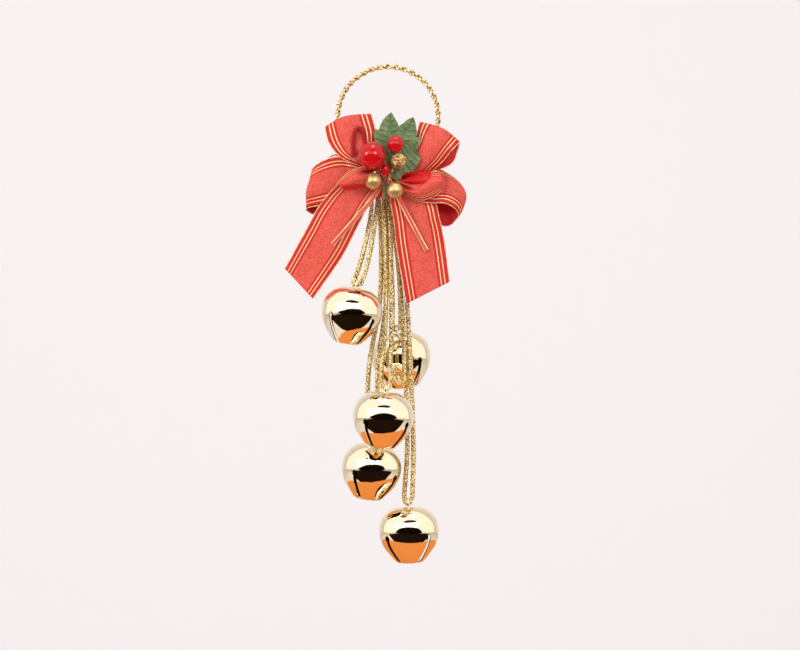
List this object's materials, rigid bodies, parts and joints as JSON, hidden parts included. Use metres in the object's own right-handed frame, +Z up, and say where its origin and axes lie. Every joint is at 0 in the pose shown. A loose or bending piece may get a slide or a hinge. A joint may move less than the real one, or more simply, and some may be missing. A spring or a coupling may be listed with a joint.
{
  "type": "christmas bell ornament",
  "caption": "Hanging ornament of jingle bells on folded gold cords, with a striped ribbon bow and a berry pick under a gold hanging hoop.",
  "frame": {"origin": "inside top of the hanging hoop, where a hook carries it", "axes": "+Z up, -Y the front with the bow and the berry pick, +X to the viewer's right"},
  "size_m": [0.0907, 0.0669, 0.2499],
  "materials": {
    "gold_cord": "metallic braided cord",
    "steel_wire": "thin wire",
    "copper_wire": "lacquered copper-red wire",
    "binding_thread": "wound thread",
    "ribbon_satin": "red and coral woven ribbon with gold edges",
    "ribbon_tie": "narrow red ribbon with gold edges",
    "chenille": "fuzzy pile",
    "leaf_cloth": "green cloth with pressed veins",
    "berry_gloss_red": "glossy lacquer",
    "berry_glitter": "gold glitter",
    "berry_matte_gold": "matte pearl gold",
    "floral_tape": "wound green tape",
    "bell_gold": "mirror champagne gold plate",
    "pellet_steel": "plain ball"
  },
  "bodies": {
    "hanger": {"hoop_foil_cord": "gold_cord", "hoop_wire_core": "steel_wire", "cord_head_loops": "gold_cord", "cord_binding": "binding_thread", "bow_center_gather": "ribbon_satin", "bow_loop_upper_left": "ribbon_satin", "bow_loop_upper_right": "ribbon_satin", "bow_loop_left": "ribbon_satin", "bow_loop_right": "ribbon_satin", "bow_loop_front_left": "ribbon_satin", "bow_loop_front_right": "ribbon_satin", "bow_tail_left": "ribbon_satin", "bow_tail_right": "ribbon_satin", "tie_ribbon_band": "ribbon_tie", "tie_ribbon_knot": "ribbon_tie", "tie_ribbon_tail_left": "ribbon_tie", "tie_ribbon_tail_right": "ribbon_tie", "binding_wire": "copper_wire", "chenille_loop": "chenille", "leaf_top": "leaf_cloth", "leaf_right": "leaf_cloth", "leaf_lower_right": "leaf_cloth", "berry_red_large": "berry_gloss_red", "berry_red_small": "berry_gloss_red", "berry_bud_red": "berry_gloss_red", "berry_glitter": "berry_glitter", "berry_gold_left": "berry_matte_gold", "berry_gold_right": "berry_matte_gold", "stem_red_large": "steel_wire", "stem_red_small": "steel_wire", "stem_bud": "steel_wire", "stem_glitter": "steel_wire", "stem_gold_left": "steel_wire", "stem_gold_right": "steel_wire", "stem_tape": "floral_tape"},
    "cord_body_1": {"cord_1": "gold_cord"},
    "bell_body_1": {"bell_shell_1": "bell_gold", "bell_shank_1": "bell_gold"},
    "pellet_body_1": {"bell_pellet_1": "pellet_steel"},
    "cord_body_2": {"cord_2": "gold_cord"},
    "bell_body_2": {"bell_shell_2": "bell_gold", "bell_shank_2": "bell_gold"},
    "pellet_body_2": {"bell_pellet_2": "pellet_steel"},
    "cord_body_3": {"cord_3": "gold_cord"},
    "bell_body_3": {"bell_shell_3": "bell_gold", "bell_shank_3": "bell_gold"},
    "pellet_body_3": {"bell_pellet_3": "pellet_steel"},
    "cord_body_4": {"cord_4": "gold_cord"},
    "bell_body_4": {"bell_shell_4": "bell_gold", "bell_shank_4": "bell_gold"},
    "pellet_body_4": {"bell_pellet_4": "pellet_steel"},
    "cord_body_5": {"cord_5": "gold_cord"},
    "bell_body_5": {"bell_shell_5": "bell_gold", "bell_shank_5": "bell_gold"},
    "pellet_body_5": {"bell_pellet_5": "pellet_steel"}
  },
  "joints": [
    {"name": "cord_1_swing", "type": "hinge", "parent": "hanger", "child": "cord_body_1", "pos_m": [-0.0066, -0.0027, -0.065], "axis": [-1, 0, 0], "range_deg": [0, 25]},
    {"name": "bell_1_swing", "type": "hinge", "parent": "cord_body_1", "child": "bell_body_1", "pos_m": [-0.0155, -0.0175, -0.1076], "axis": [-1, 0, 0], "range_deg": [-30, 30]},
    {"name": "pellet_1_rattle", "type": "slide", "parent": "bell_body_1", "child": "pellet_body_1", "axis": [0.1736, 0, 0.9848], "range_m": [0, 0.018]},
    {"name": "cord_2_swing", "type": "hinge", "parent": "hanger", "child": "cord_body_2", "pos_m": [0.0008, 0.0029, -0.065], "axis": [1, 0, 0], "range_deg": [0, 25]},
    {"name": "bell_2_swing", "type": "hinge", "parent": "cord_body_2", "child": "bell_body_2", "pos_m": [0.0043, 0.019, -0.1301], "axis": [1, 0, 0], "range_deg": [-4, 30]},
    {"name": "pellet_2_rattle", "type": "slide", "parent": "bell_body_2", "child": "pellet_body_2", "axis": [-0.1564, 0, 0.9877], "range_m": [0, 0.018]},
    {"name": "cord_3_swing", "type": "hinge", "parent": "hanger", "child": "cord_body_3", "pos_m": [-0.0011, -0.0027, -0.065], "axis": [-1, 0, 0], "range_deg": [0, 25]},
    {"name": "bell_3_swing", "type": "hinge", "parent": "cord_body_3", "child": "bell_body_3", "pos_m": [-0.0011, -0.0175, -0.1592], "axis": [-1, 0, 0], "range_deg": [-5, 30]},
    {"name": "pellet_3_rattle", "type": "slide", "parent": "bell_body_3", "child": "pellet_body_3", "axis": [0.0872, 0, 0.9962], "range_m": [0, 0.018]},
    {"name": "cord_4_swing", "type": "hinge", "parent": "hanger", "child": "cord_body_4", "pos_m": [-0.0032, 0.0001, -0.065], "axis": [0, 1, 0], "range_deg": [0, 25]},
    {"name": "bell_4_swing", "type": "hinge", "parent": "cord_body_4", "child": "bell_body_4", "pos_m": [-0.0063, 0.0018, -0.1855], "axis": [1, 0, 0], "range_deg": [-5, 30]},
    {"name": "pellet_4_rattle", "type": "slide", "parent": "bell_body_4", "child": "pellet_body_4", "axis": [0.1392, 0, 0.9903], "range_m": [0, 0.018]},
    {"name": "cord_5_swing", "type": "hinge", "parent": "hanger", "child": "cord_body_5", "pos_m": [0.0023, 0.0001, -0.065], "axis": [0, -1, 0], "range_deg": [0, 25]},
    {"name": "bell_5_swing", "type": "hinge", "parent": "cord_body_5", "child": "bell_body_5", "pos_m": [0.01, 0.0015, -0.2169], "axis": [1, 0, 0], "range_deg": [-30, 30]},
    {"name": "pellet_5_rattle", "type": "slide", "parent": "bell_body_5", "child": "pellet_body_5", "axis": [-0.0349, 0, 0.9994], "range_m": [0, 0.018]}
  ]
}
